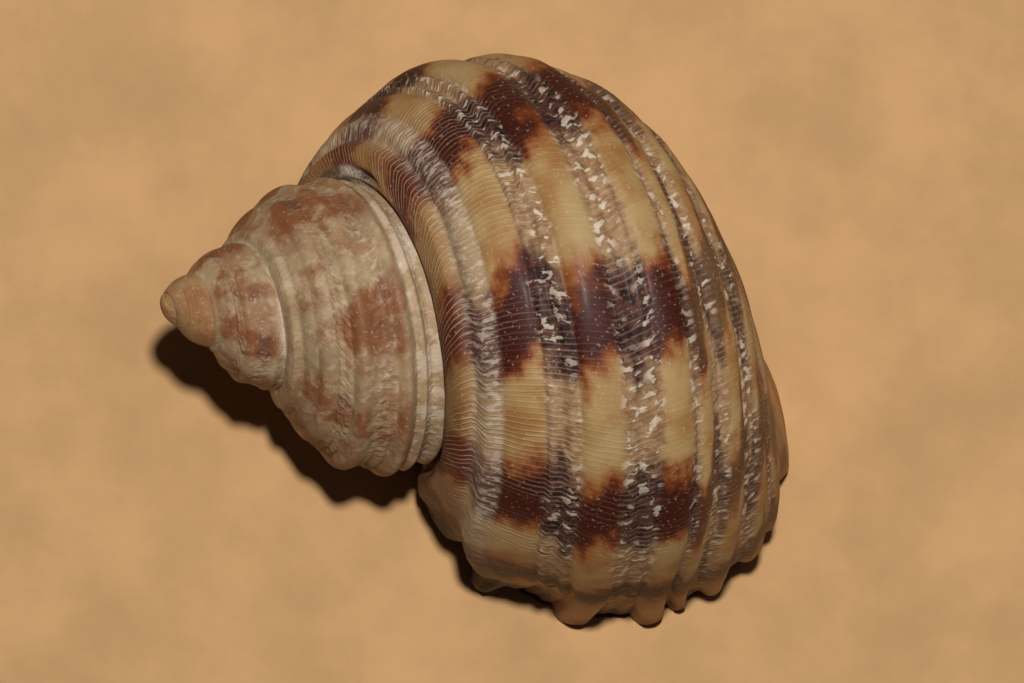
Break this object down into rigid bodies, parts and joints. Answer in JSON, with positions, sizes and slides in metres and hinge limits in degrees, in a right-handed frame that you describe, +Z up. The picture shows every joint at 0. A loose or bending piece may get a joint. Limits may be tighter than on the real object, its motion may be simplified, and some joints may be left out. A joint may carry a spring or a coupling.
{
  "type": "turban shell",
  "caption": "Ribbed turban sea shell lying on its mouth, with a stepped spire, a rough shoulder cord and a scalloped lip.",
  "frame": {"origin": "under the middle of the shell, on the surface it rests on", "axes": "+Z up, out of the resting plane; the coiling axis runs from the tip at -X towards +X and dips 22 degrees"},
  "size_m": [0.0361, 0.0346, 0.0254],
  "materials": {
    "shell": "waxy half gloss, worn"
  },
  "bodies": {
    "root": {"shell": "shell"}
  },
  "joints": []
}
